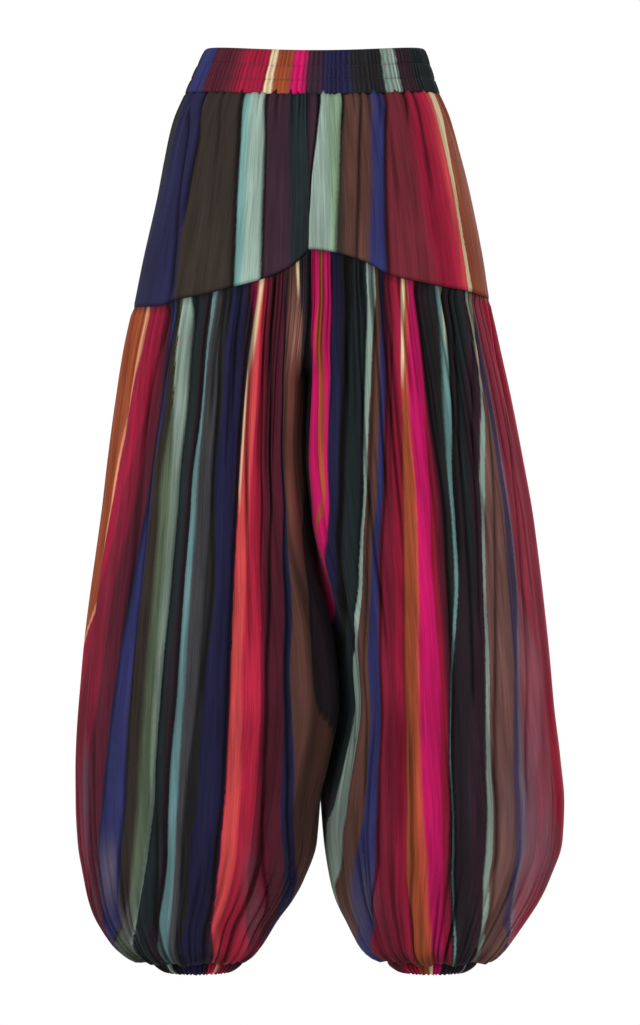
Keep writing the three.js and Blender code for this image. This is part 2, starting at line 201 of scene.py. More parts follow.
# Two quarters of the front and two of the back. Left and right are the wearer's.
QUARTERS = {
    "front_left": {"leg": 1, "face": -1, "hem": "front_left", "seed": 3},
    "front_right": {"leg": -1, "face": -1, "hem": "front_right", "seed": 5},
    "back_left": {"leg": 1, "face": 1, "hem": "back_left", "seed": 11},
    "back_right": {"leg": -1, "face": 1, "hem": "back_right", "seed": 14},
}

# The dyes of the print, as they look in daylight
DYES = {
    "black": (24, 21, 25),
    "navy": (37, 35, 70),
    "blue": (50, 52, 104),
    "maroon": (90, 30, 46),
    "rose_maroon": (172, 62, 82),
    "rose": (176, 94, 108),
    "lavender": (148, 130, 150),
    "claret": (120, 42, 54),
    "wine": (128, 28, 52),
    "deep_crimson": (158, 26, 58),
    "crimson": (192, 38, 68),
    "red": (204, 82, 64),
    "coral": (232, 82, 84),
    "cream": (240, 214, 172),
    "peach": (222, 150, 112),
    "rust": (162, 78, 46),
    "magenta": (208, 22, 102),
    "plum": (58, 36, 48),
    "dark_plum": (44, 33, 40),
    "olive": (51, 43, 37),
    "brown": (94, 62, 53),
    "rosewood": (128, 88, 82),
    "dusk": (88, 70, 102),
    "dark_green": (34, 44, 46),
    "black_olive": (40, 38, 40),
    "slate": (74, 74, 78),
    "silver": (134, 140, 144),
    "teal": (114, 158, 155),
    "mint": (152, 174, 162),
    "light_green": (138, 166, 136),
    "moss": (87, 101, 80),
    "sage": (126, 142, 126),
    "steel": (102, 138, 140),
}


def dye(name):
    """A dye as the linear colour that a shader takes."""
    value = np.array(DYES[name]) / 255
    linear = np.where(value <= 0.04045, value / 12.92, ((value + 0.055) / 1.055) ** 2.4)
    return (*linear, 1)


NARROWEST_SPAN = 1e-4


def chart_at(starts, levels, share, down):
    """How far through the list of stripes each point is: every stripe adds its own part, from
    0 at its start to one share of the list at its end. The second number is how fast that
    changes across the cloth."""
    count = len(starts)
    starts = [curve(down, levels, row) for row in starts]
    starts.append(np.ones_like(share) + NARROWEST_SPAN)
    through = np.zeros_like(share)
    pace = np.zeros_like(share)
    for start, end in zip(starts[:-1], starts[1:]):
        span = np.maximum(end - start, NARROWEST_SPAN)
        through += np.clip((share - start) / span, 0, 1) / count
        pace += np.where((share >= start) & (share < end), 1 / span, 0) / count
    return np.stack([through, pace], axis=-1)


def cloth_object(name, points, cloth, chart, values, thickness, outward, closed=False):
    """A sheet of quads through a grid of points, with its UV maps and point values, smooth
    shaded and given its thickness inwards. A closed sheet joins its last column to its first."""
    rows, columns = points.shape[:2]
    spans = columns if closed else columns - 1
    row, column = np.meshgrid(np.arange(rows - 1), np.arange(spans), indexing="ij")
    corners = [(0, 0), (0, 1), (1, 1), (1, 0)][::1 if outward else -1]
    faces = np.stack([(row + r) * columns + (column + c) % columns for r, c in corners], -1)
    places = np.stack([(row + r) * (spans + 1) + column + c for r, c in corners], -1).ravel()
    mesh = bpy.data.meshes.new(name)
    mesh.from_pydata(points.reshape(-1, 3), [], faces.reshape(-1, 4))
    for label, flat in (("cloth", cloth), ("chart", chart)):
        layer = mesh.uv_layers.new(name=label)
        layer.data.foreach_set("uv", flat.reshape(-1, 2)[places].ravel())
    for label, value in values.items():
        attribute = mesh.attributes.new(label, "FLOAT", "POINT")
        attribute.data.foreach_set("value", np.broadcast_to(value, (rows, columns)).ravel())
    mesh.shade_smooth()
    piece = bpy.data.objects.new(name, mesh)
    bpy.context.collection.objects.link(piece)
    wall = piece.modifiers.new("wall", "SOLIDIFY")
    wall.thickness = thickness
    wall.offset = -1
    return piece


def add_node(tree, kind, settings=None, inputs=None):
    """A node with its settings, and each input either a value or another node's socket."""
    node = tree.nodes.new(kind)
    for key, value in (settings or {}).items():
        setattr(node, key, value)
    for key, value in (inputs or {}).items():
        if isinstance(value, bpy.types.NodeSocket):
            tree.links.new(value, node.inputs[key])
        else:
            node.inputs[key].default_value = value
    return node


def math_node(tree, operation, a, b, clamp=False):
    """One operation on two numbers or sockets."""
    return add_node(tree, "ShaderNodeMath", {"operation": operation, "use_clamp": clamp},
                    {0: a, 1: b}).outputs[0]


def stretched_noise(tree, cloth, across, down, detail):
    """Noise with so many waves to the metre across the cloth and down it."""
    scaled = add_node(tree, "ShaderNodeVectorMath", {"operation": "MULTIPLY"},
                      {0: cloth, 1: (across, down, 1)}).outputs[0]
    return add_node(tree, "ShaderNodeTexNoise", {"noise_dimensions": "2D"},
                    {"Vector": scaled, "Scale": 1, "Detail": detail}).outputs["Fac"]


def new_group(name, inputs, outputs):
    """An empty node group with named inputs and outputs."""
    group = bpy.data.node_groups.new(name, "ShaderNodeTree")
    for label, kind in inputs:
        group.interface.new_socket(name=label, in_out="INPUT", socket_type=kind)
    for label in outputs:
        group.interface.new_socket(name=label, in_out="OUTPUT", socket_type="NodeSocketFloat")
    return group, group.nodes.new("NodeGroupInput"), group.nodes.new("NodeGroupOutput")


# Where the dye ran: moves a point's place in the list of stripes by a wandering distance
dye_edge, run_in, run_out = new_group(
    "dye_edge",
    [("Cloth", "NodeSocketVector"), ("Through", "NodeSocketFloat"), ("Pace", "NodeSocketFloat"),
     ("Wander", "NodeSocketFloat")],
    ["Through"],
)
fine_run = stretched_noise(dye_edge, run_in.outputs["Cloth"], 420, 170, 3)
slow_run = stretched_noise(dye_edge, run_in.outputs["Cloth"], 60, 14, 1)
both_runs = math_node(dye_edge, "ADD", fine_run, slow_run)
centred_run = math_node(dye_edge, "SUBTRACT", both_runs, 1.0)
run_length = math_node(dye_edge, "MULTIPLY", centred_run, run_in.outputs["Wander"])
run_share = math_node(dye_edge, "MULTIPLY", run_length, run_in.outputs["Pace"])
moved = math_node(dye_edge, "ADD", run_share, run_in.outputs["Through"])
dye_edge.links.new(moved, run_out.inputs["Through"])

# Crinkle georgette: fine threads and crinkles that run down the cloth, lighter and darker. The
# lighter and darker streaks in the colour are partly painted light and shade of the crinkles and
# soft folds, partly uneven tone
GRAIN_RELIEF = 0.5
STREAK_STRENGTH = 0.6
crinkle, crinkle_in, crinkle_out = new_group(
    "crinkle", [("Cloth", "NodeSocketVector")], ["Height", "Streak_and_shade"])
threads = stretched_noise(crinkle, crinkle_in.outputs["Cloth"], 900, 16, 2)
crinkles = stretched_noise(crinkle, crinkle_in.outputs["Cloth"], 330, 12, 2)
grain = stretched_noise(crinkle, crinkle_in.outputs["Cloth"], 1500, 900, 1)
ridges = math_node(crinkle, "ADD", threads, crinkles)
grain_relief = math_node(crinkle, "MULTIPLY", grain, GRAIN_RELIEF)
rough_ridges = math_node(crinkle, "ADD", ridges, grain_relief)
soft_folds = stretched_noise(crinkle, crinkle_in.outputs["Cloth"], 110, 5, 2)
patches = stretched_noise(crinkle, crinkle_in.outputs["Cloth"], 24, 7, 2)
broad_streaks = math_node(crinkle, "ADD", soft_folds, patches)
all_streaks = math_node(crinkle, "ADD", ridges, broad_streaks)
streaks = math_node(crinkle, "MULTIPLY", all_streaks, STREAK_STRENGTH)
crinkle.links.new(rough_ridges, crinkle_out.inputs["Height"])
crinkle.links.new(streaks, crinkle_out.inputs["Streak_and_shade"])

# Sheerness: where the threads lie open the cloth lets light through, in uneven long streaks
OPEN_GRAIN = 0.4
sheerness, sheer_in, sheer_out = new_group(
    "sheerness", [("Cloth", "NodeSocketVector"), ("Sheer", "NodeSocketFloat")], ["Alpha"])
open_threads = stretched_noise(sheerness, sheer_in.outputs["Cloth"], 60, 6, 2)
open_grain = stretched_noise(sheerness, sheer_in.outputs["Cloth"], 1300, 800, 1)
open_specks = math_node(sheerness, "MULTIPLY", open_grain, OPEN_GRAIN)
both_open = math_node(sheerness, "ADD", open_threads, open_specks)
passed = math_node(sheerness, "MULTIPLY", both_open, sheer_in.outputs["Sheer"])
held_back = math_node(sheerness, "SUBTRACT", 1.0, passed, clamp=True)
sheerness.links.new(held_back, sheer_out.inputs["Alpha"])

RAMP_STRIPES = 15
WIDEST_BLUR = 0.45
DYE_WANDER = 0.0016
STREAKS_FROM, STREAKS_TO = 0.9, 1.5
DARKEST_STREAK, LIGHTEST_STREAK = 0.68, 1.30
VALLEY_SHADE = 0.78
HAZE = 0.6
HAZY_FROM, HAZY_TO = 0.26, 0.9
CRINKLE_DEPTH = 0.0005


def stripe_colour(tree, through, chart, starts, width):
    """The colour at a place in the list of stripes. Each ramp holds up to fifteen stripes, and
    two stops at each edge set how far the dyes run into each other."""
    count = len(chart)
    middle = [*np.mean(starts, axis=1), 1]
    blurs = [0] * count
    for i in range(1, count):
        spans = (middle[i] - middle[i - 1], middle[i + 1] - middle[i])
        blurs[i] = [min(WIDEST_BLUR, chart[i][1] / max(span * width, NARROWEST_SPAN))
                    for span in spans]
    colour = None
    for first in range(0, count, RAMP_STRIPES):
        last = min(count, first + RAMP_STRIPES)
        local = add_node(tree, "ShaderNodeMapRange", None, {
            "Value": through, "From Min": first / count, "From Max": last / count}).outputs[0]
        node = add_node(tree, "ShaderNodeValToRGB", None, {"Fac": local})
        stops = node.color_ramp.elements
        stops.remove(stops[1])
        stops[0].position = 0
        stops[0].color = dye(chart[first][0])
        for i in range(first + 1, last):
            before, after = blurs[i]
            for place, stripe in ((i - before, i - 1), (i + after, i)):
                stop = stops.new((place - first) / (last - first))
                stop.color = dye(chart[stripe][0])
        if colour is None:
            colour = node.outputs["Color"]
            continue
        before, after = blurs[first]
        step = add_node(tree, "ShaderNodeMapRange", None, {
            "Value": through, "From Min": (first - before) / count,
            "From Max": (first + after) / count}).outputs[0]
        mixed = add_node(tree, "ShaderNodeMix", {"data_type": "RGBA"},
                         {"Factor": step, "A": colour, "B": node.outputs["Color"]})
        colour = mixed.outputs["Result"]
    return colour


def printed_cloth(name, chart, starts, width):
    """The printed georgette: striped by its chart, streaked by its threads, with painted shade
    down in the folds and a painted pale glow where it is sheer, and as see-through as its sheer
    value says."""
    material = bpy.data.materials.new(name)
    material.use_nodes = True
    tree = material.node_tree
    shader = tree.nodes["Principled BSDF"]
    cloth = add_node(tree, "ShaderNodeUVMap", {"uv_map": "cloth"}).outputs[0]
    place = add_node(tree, "ShaderNodeUVMap", {"uv_map": "chart"}).outputs[0]
    parts = add_node(tree, "ShaderNodeSeparateXYZ", None, {0: place})
    edge = add_node(tree, "ShaderNodeGroup", {"node_tree": dye_edge}, {
        "Cloth": cloth, "Through": parts.outputs[0], "Pace": parts.outputs[1],
        "Wander": DYE_WANDER / width})
    stripes = stripe_colour(tree, edge.outputs["Through"], chart, starts, width)
    fleck = add_node(tree, "ShaderNodeAttribute", {"attribute_name": "fleck"}).outputs["Fac"]
    flecked = add_node(tree, "ShaderNodeMix", {"data_type": "RGBA"}, {
        "Factor": fleck, "A": stripes, "B": dye("cream")}).outputs["Result"]
    weave = add_node(tree, "ShaderNodeGroup", {"node_tree": crinkle}, {"Cloth": cloth})
    # Painted light and shade of the crinkles and soft folds, mixed with uneven tone of the cloth
    lightness = add_node(tree, "ShaderNodeMapRange", None, {
        "Value": weave.outputs["Streak_and_shade"], "From Min": STREAKS_FROM, "From Max": STREAKS_TO,
        "To Min": DARKEST_STREAK, "To Max": LIGHTEST_STREAK}).outputs[0]
    # Painted shade: the colour is darkened by how deep the folds, creases, seams and gathers lie
    valley_shade = add_node(tree, "ShaderNodeAttribute", {"attribute_name": "valley_shade"}).outputs["Fac"]
    shade = math_node(tree, "MULTIPLY", valley_shade, VALLEY_SHADE)
    shadow = math_node(tree, "SUBTRACT", 1.0, shade)
    tone = math_node(tree, "MULTIPLY", lightness, shadow)
    toned = add_node(tree, "ShaderNodeVectorMath", {"operation": "SCALE"},
                     {0: flecked, "Scale": tone}).outputs[0]
    sheer = add_node(tree, "ShaderNodeAttribute", {"attribute_name": "sheer"}).outputs["Fac"]
    # Painted light through the sheer cloth: where it is sheer the colour is painted paler,
    # towards lavender
    haze = add_node(tree, "ShaderNodeMapRange", None, {
        "Value": sheer, "From Min": HAZY_FROM, "From Max": HAZY_TO, "To Max": HAZE}).outputs[0]
    hazed = add_node(tree, "ShaderNodeMix", {"data_type": "RGBA"},
                     {"Factor": haze, "A": toned, "B": dye("lavender")}).outputs["Result"]
    veil = add_node(tree, "ShaderNodeGroup", {"node_tree": sheerness},
                    {"Cloth": cloth, "Sheer": sheer})
    relief = add_node(tree, "ShaderNodeBump", None, {
        "Height": weave.outputs["Height"], "Distance": CRINKLE_DEPTH, "Strength": 0.8})
    tree.links.new(hazed, shader.inputs["Base Color"])
    tree.links.new(veil.outputs["Alpha"], shader.inputs["Alpha"])
    tree.links.new(relief.outputs["Normal"], shader.inputs["Normal"])
    shader.inputs["Roughness"].default_value = 0.78
    shader.inputs["Specular IOR Level"].default_value = 0.12
    shader.inputs["Sheen Weight"].default_value = 0.03
    shader.inputs["Sheen Roughness"].default_value = 0.45
    return material


# The stripes and creases were measured on the photo, in its pixels, along some of its rows
PIXEL = 0.0011255
MIDDLE_COLUMN = 320
TOP_ROW = 50.5
TOP_HEIGHT = 0.024
EYE_X, EYE_Z = 0.0056, -0.496
EYE_DISTANCE = 4.0
SEARCH_SHARES = 600
SEARCH_STEPS = 4


def nearness(points):
    """How much larger a point looks than one in the middle plane: the distance of the eye from
    that plane over its distance from the point."""
    return EYE_DISTANCE / (EYE_DISTANCE - np.abs(points[..., 1]))


def seen_at(quarter, points):
    """Column and row where points of the front are seen from in front, and points of the back
    from behind: distances from the eye's line, as much larger as they are nearer."""
    nearer = nearness(points)
    column = MIDDLE_COLUMN - quarter["face"] * (points[..., 0] - EYE_X) * nearer / PIXEL
    row = TOP_ROW + (TOP_HEIGHT - EYE_Z - (points[..., 2] - EYE_Z) * nearer) / PIXEL
    return column, row


def shares_at(quarter, rows, lines):
    """The cloth's share where each line of measured columns crosses each row. The height that
    is seen at the row is found first, then the share whose column is the measured one. A short
    line keeps its last column."""
    lines = [[*line, *line[-1:] * (len(rows) - len(line))] for line in lines]
    share = np.linspace(0, 1, SEARCH_SHARES)
    side = -quarter["face"] * quarter["leg"]
    found = []
    for row, columns in zip(rows, np.array(lines, float).T):
        flat_height = TOP_HEIGHT - (row - TOP_ROW) * PIXEL
        height = np.full_like(share, flat_height)
        for _ in range(SEARCH_STEPS):
            points = cloth_point(quarter, share, height, np.zeros_like(share))
            height = EYE_Z + (flat_height - EYE_Z) / nearness(points)
        outward = np.minimum.accumulate(side * (seen_at(quarter, points)[0] - MIDDLE_COLUMN))
        measured = side * (columns - MIDDLE_COLUMN)
        found.append(np.interp(measured, outward[::-1], share[::-1]))
    return np.stack(found, axis=-1)


def long_creases(creases, rows, lines, reach, share, row):
    """Depth of the sharp creases: each is a bell across the cloth about its measured line, and
    fades in and out along the rows."""
    depth = np.zeros_like(share)
    for (deep, half_width, start, end, *_), line in zip(creases, lines):
        off_line = (share - curve(row, rows, line)) * reach / half_width
        fade = smooth((row - start) / ROW_FADE + 0.7) * smooth((end - row) / ROW_FADE + 0.5)
        depth += deep * np.exp(-off_line ** 2) * fade
    return depth


# Each stripe: its dye, how far its first edge runs, and the column where it starts on each row,
# from the side seam to the centre. Columns out of sight stand for the seam itself, and a list
# that stops early keeps its last column on the rows that are left.
YOKE_ROWS = (100, 140, 190, 240, 285)
YOKE_CHARTS = {
    "front_right": [
        ("black_olive", 0.001, 60),
        ("navy", 0.002, 186, 174, 162, 60),
        ("olive", 0.002, 203, 197.5, 188.5, 181, 176),
        ("teal", 0.001, 243, 240, 237, 235, 233.5),
        ("mint", 0.006, 252, 249, 246, 244, 241),
        ("plum", 0.001, 264.5, 264.5, 263, 261.5, 260.5),
        ("dark_green", 0.005, 290, 290, 290.5, 291),
    ],
    "front_left": [
        ("rust", 0.001, 640),
        ("cream", 0.0008, 436.5, 446.5, 455.5, 463.5, 471),
        ("coral", 0.0008, 432, 442, 452.5, 461, 467.5),
        ("crimson", 0.004, 427, 437, 447, 456, 463),
        ("deep_crimson", 0.005, 420, 428, 438, 447, 456),
        ("claret", 0.006, 406, 412, 419, 428, 438),
        ("blue", 0.001, 385.5, 385, 385.5, 386.5, 388),
        ("brown", 0.003, 371, 371, 371, 369, 368),
        ("olive", 0.004, 343.5, 343, 345, 347, 349),
        ("light_green", 0.003, 342, 339.5, 337, 334, 333),
        ("mint", 0.008, 326, 327, 329, 331),
        ("plum", 0.001, 321.5, 316.5, 311, 300),
    ],
}

# The sharp creases: depth, half width, from which row to which they run, and their
# column on each row
ROW_FADE = 40
YOKE_CREASES = {
    "front_right": [
        (0.0026, 0.0022, 80, 300, 192, 187, 179.5, 176, 172),
        (0.0028, 0.0026, 80, 215, 202.5, 198, 188, 180, 175),
        (0.0016, 0.0018, 80, 165, 221.5, 218, 213, 210, 208),
        (0.0028, 0.0022, 80, 300, 242, 239, 236, 234, 232.5),
        (0.0014, 0.0016, 80, 108, 258, 257, 256),
        (0.0028, 0.0022, 80, 300, 266, 265.5, 264, 262.5, 261.5),
        (0.0018, 0.0016, 80, 112, 277),
        (0.0012, 0.0014, 80, 105, 284),
        (0.0018, 0.0018, 80, 118, 292, 294, 295),
        (0.0018, 0.0018, 80, 118, 300, 299),
    ],
    "front_left": [
        (0.0030, 0.0026, 80, 205, 319.5, 315.5, 310.5, 309),
        (0.0014, 0.0016, 80, 100, 331),
        (0.0026, 0.0024, 80, 135, 343.5, 342),
        (0.0016, 0.0016, 80, 112, 354),
        (0.0024, 0.0018, 80, 270, 361.5, 360, 359, 357.5, 356),
        (0.0018, 0.0018, 80, 112, 370.5, 371),
        (0.0014, 0.0014, 80, 130, 379.5, 379),
        (0.0028, 0.0022, 80, 300, 387, 386, 386.5, 388, 390),
        (0.0012, 0.0022, 130, 200, 390, 392, 398, 402, 405),
        (0.0026, 0.0022, 80, 118, 407, 408, 410, 412, 414),
        (0.0018, 0.0026, 80, 190, 416, 424, 432, 438, 444),
    ],
}
# The back pieces carry what the other side's front pieces do
for table in (YOKE_CHARTS, YOKE_CREASES):
    table["back_left"], table["back_right"] = table["front_right"], table["front_left"]

YOKE_GRID = (56, 170)
YOKE_WIDTH = 0.245
YOKE_LENGTH = 0.235
YOKE_UNDER_BAND = 0.004
UNDER_BAND_TURN = 0.003
UNDER_BAND_REACH = 0.010
YOKE_FULLNESS = 0.0006
YOKE_GATHER_DEPTH = 0.0009
YOKE_GATHER_REACH = 0.45
YOKE_GATHER_WAVES = (71, 113)
YOKE_SHEER = 0.02
CLOTH_THICKNESS = 0.0008
EDGE_EASE = 0.012
SEAM_TURN = 0.0008
SEAM_REACH = 0.0016
CREASE_FADE = 0.1
# How deep a crease, a seam's turn and the turn under the band are where their painted shade is
# darkest
YOKE_CREASE_DARK, YOKE_TURN_DARK, UNDER_BAND_DARK = 0.0024, 0.0016, 0.004


def crease_depth(creases, share, down, reach):
    """Depth of a set of creases: each is a bell across the cloth, about a line that runs from
    its upper to its lower share, and fades in and out along its length."""
    depth = np.zeros_like(share)
    for top, foot, deep, half_width, start, end in creases:
        off_line = (share - top - (foot - top) * down) * reach / half_width
        fade = smooth((down - start) / CREASE_FADE + 1) * smooth((end - down) / CREASE_FADE + 0.5)
        depth += deep * np.exp(-off_line ** 2) * fade
    return depth


def seam_turn(*distances):
    """How far the cloth turns in at its seams: a short bell of the distance to the nearest."""
    return SEAM_TURN * np.exp(-(np.minimum.reduce(distances) / SEAM_REACH) ** 2)


for name, quarter in QUARTERS.items():
    share, down = grid(*YOKE_GRID)
    dip = FRONT_DIP * (1 - across_at(share) ** 2) if quarter["face"] < 0 else 0
    top = BAND_FOOT + YOKE_UNDER_BAND - dip
    hem = hem_height(quarter, share)
    height = top + (hem - top) * down
    column, row = seen_at(quarter, cloth_point(quarter, share, height, np.zeros_like(share)))
    lines = shares_at(quarter, YOKE_ROWS, [crease[4:] for crease in YOKE_CREASES[name]])
    creases = long_creases(YOKE_CREASES[name], YOKE_ROWS, lines, YOKE_WIDTH, share, row)
    gather_waves = sum(np.sin(share * waves + (i + 1) * quarter["seed"])
                       for i, waves in enumerate(YOKE_GATHER_WAVES))
    gathers = YOKE_GATHER_DEPTH * (1 - smooth(down / YOKE_GATHER_REACH)) * gather_waves
    at_edge = smooth(np.minimum(share, 1 - share) * YOKE_WIDTH / EDGE_EASE)
    turn = seam_turn(share * YOKE_WIDTH, (1 - share) * YOKE_WIDTH, height - hem)
    under_band = UNDER_BAND_TURN * (1 - smooth((top - height) / UNDER_BAND_REACH))
    out = at_edge * (gathers + YOKE_FULLNESS - creases) - turn - under_band
    points = cloth_point(quarter, share, height, out)
    cloth = np.stack([share * YOKE_WIDTH, down * YOKE_LENGTH], axis=-1)
    chart = YOKE_CHARTS[name]
    starts = np.maximum.accumulate(
        shares_at(quarter, YOKE_ROWS, [stripe[2:] for stripe in chart]))
    # Painted shade in the creases, at the seams and under the band, darker as they go deeper
    valley_shade = np.clip(creases / YOKE_CREASE_DARK + turn / YOKE_TURN_DARK
                     + under_band / UNDER_BAND_DARK, 0, 1)
    yoke = cloth_object(
        "yoke_cloth_" + name, points, cloth, chart_at(starts, YOKE_ROWS, share, row),
        {"valley_shade": valley_shade, "sheer": YOKE_SHEER}, CLOTH_THICKNESS,
        quarter["leg"] == -quarter["face"])
    yoke.data.materials.append(printed_cloth("yoke_print_" + name, chart, starts, YOKE_WIDTH))
    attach(yoke, "root")
    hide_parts("yoke_" + name)

# Legs: two full front and two full back pieces of the same sheer georgette, gathered on to the
# yoke's curved seam and again into the cuffs, so that they fall in long ridges with narrow
# valleys between them, painted darker as well as shaded, and balloon out over the ankles.
LEG_ROWS = (295, 325, 400, 490, 580, 680, 800, 860, 920, 957)
# The black stripes next to the centre of both front pieces are partly dark print and partly
# painted shade of the groove between the legs
LEG_CHARTS = {
    "front_right": [
        ("rust", 0.0010, 60),
        ("peach", 0.0006, 148.5, 143.8, 128.8, 114, 97.5, 60),
        ("deep_crimson", 0.0008, 151.5, 147, 130.8, 115.6, 99.5, 81, 60),
        ("wine", 0.0016, 164, 161, 147, 124, 103, 83, 60),
        ("maroon", 0.0030, 166, 164, 151, 135, 115, 100, 86, 90, 97, 110),
        ("navy", 0.0012, 168, 166, 159.5, 145.5, 128, 113, 100, 96, 104, 124),
        ("blue", 0.0020, 174, 172, 164, 150, 133, 117, 103, 98, 105, 125),
        ("olive", 0.0016, 175, 173, 165, 151, 143, 130, 124, 119, 119, 133),
        ("moss", 0.0030, 180, 178, 172.5, 161, 155, 147, 139, 134, 124, 136),
        ("sage", 0.0030, 181.9, 178.9, 172.9, 168.5, 161, 153, 148, 142.4, 133.2, 138),
        ("mint", 0.0030, 182, 179, 173, 174.5, 167, 158, 150.8, 144.2, 135.2, 138.5),
        ("dark_green", 0.0012, 191, 192, 187, 177, 170, 160, 152, 145, 136, 139),
        ("dark_plum", 0.0025, 202, 201, 196, 185, 179, 167, 162, 160, 151, 152),
        ("steel", 0.0008, 213, 210, 202.3, 191.8, 184.8, 178, 168, 167, 158, 161),
        ("slate", 0.0014, 217, 212, 204, 197, 191, 185, 178, 175, 171),
        ("black_olive", 0.0018, 222, 219, 216, 211, 204, 198, 184, 180, 178, 176),
        ("navy", 0.0012, 230, 227, 222.5, 214.5, 216, 205, 198, 190, 186, 181),
        ("plum", 0.0018, 246, 245, 240.5, 233.5, 232, 229, 223, 213, 206, 207),
        ("magenta", 0.0008, 250, 252.8, 244.8, 238.8, 233.8, 229.8, 224.8, 219.8, 212.8, 213.8),
        ("coral", 0.0010, 257, 253, 245, 239, 234, 230, 225, 220, 213, 215),
        ("crimson", 0.0024, 264, 261.5, 257, 250.5, 246, 242, 240, 236, 222, 219),
        ("wine", 0.0010, 268, 264, 261, 261, 260, 261, 256, 250, 246, 243),
        ("maroon", 0.0020, 270, 267, 265, 265, 264, 266, 266, 270, 262, 252),
        ("navy", 0.0012, 284, 285, 284, 283.5, 284, 284, 282, 283, 272, 262),
        ("brown", 0.0012, 285, 285.3, 284.3, 286, 291, 292, 294, 296, 290, 272),
        ("olive", 0.0030, 299, 302, 303, 304, 308, 313, 330),
        ("dark_plum", 0.0012, 300, 303.5, 305.5, 306, 310, 315.5, 332),
        ("black", 0.0012, 307, 310, 311, 312, 319, 335, 340),
    ],
    "front_left": [
        ("crimson", 0.0010, 640),
        ("rose_maroon", 0.0030, 482, 488, 509, 527, 541, 549, 556, 640),
        ("rose", 0.0030, 475, 481, 495, 511, 521, 542, 538, 538, 521, 510),
        ("lavender", 0.0012, 474.8, 480.8, 494.8, 510, 520, 524, 529, 527, 512, 502),
        ("dusk", 0.0012, 474.5, 480.5, 494.5, 509, 519.5, 519, 521, 521, 511, 500),
        ("rosewood", 0.0016, 472, 478, 490, 505, 508, 513.5, 515, 514.5, 504.5, 493),
        ("mint", 0.0008, 469.5, 475, 483, 486.5, 487.5, 491, 494.5, 493, 487, 479),
        ("plum", 0.0010, 466.5, 473.3, 480.2, 482.6, 485, 487.5, 488.5, 486, 482, 475),
        ("dark_green", 0.0016, 460, 466, 467, 471, 475, 472, 470, 470, 470, 468),
        ("dark_plum", 0.0016, 452, 457, 459, 464, 469, 471.5, 469, 469, 469, 467),
        ("teal", 0.0008, 443.5, 446.5, 451, 454.5, 459, 453, 453.5, 454.5, 455),
        ("black_olive", 0.001, 437, 440, 444.5, 450.7, 455.7, 450.6, 451.1, 452.1, 452.6),
        ("plum", 0.0014, 428, 427.5, 431, 443.3, 447.3, 450.6, 451.1, 452.1, 452.6),
        ("maroon", 0.0014, 417, 421, 427.5, 443, 447, 450.6, 451.1, 452.1, 452.6),
        ("deep_crimson", 0.0016, 416, 420, 426, 435.5, 437.5, 446, 450, 448, 450, 452),
        ("magenta", 0.0014, 415, 419, 425, 429, 432, 440, 441, 443, 443, 442),
        ("red", 0.0014, 409, 408.5, 409, 416, 419, 419.5, 423, 428, 430.5, 434),
        ("rust", 0.0012, 406.8, 405, 406.5, 413.5, 417, 416, 417, 419, 424, 430),
        ("deep_crimson", 0.001, 403, 402.8, 402.4, 403, 404, 404.6, 406.5, 406, 411.5, 415),
        ("wine", 0.0016, 391, 393, 392, 393, 395, 395.5, 398, 396, 401, 407),
        ("blue", 0.0012, 385.5, 385, 385, 383, 378.5, 379.5, 377.5, 376, 371, 381),
        ("brown", 0.0014, 381.5, 381, 380, 377, 371, 368, 364, 353.5, 356, 376),
        ("mint", 0.0012, 376, 373.5, 370, 366, 362, 357.5, 347, 338, 340, 372),
        ("dark_green", 0.0008, 368, 367.3, 364.7, 363.5, 358.5, 352.5, 334, 280),
        ("black", 0.0025, 354, 349, 349, 345, 343, 340, 331, 280),
        ("navy", 0.0020, 341, 342, 340, 338, 334, 300, 280),
        ("magenta", 0.0008, 332, 331, 326.5, 325.5, 327.7, 300, 280),
        ("rust", 0.0010, 324, 323.5, 322.5, 321.5, 320.6, 300, 280),
        ("magenta", 0.0010, 319, 315.5, 316.5, 317.5, 320.4, 300, 280),
        ("black", 0.0008, 311.5, 311.5, 308.5, 309, 317.5, 300, 280),
    ],
}
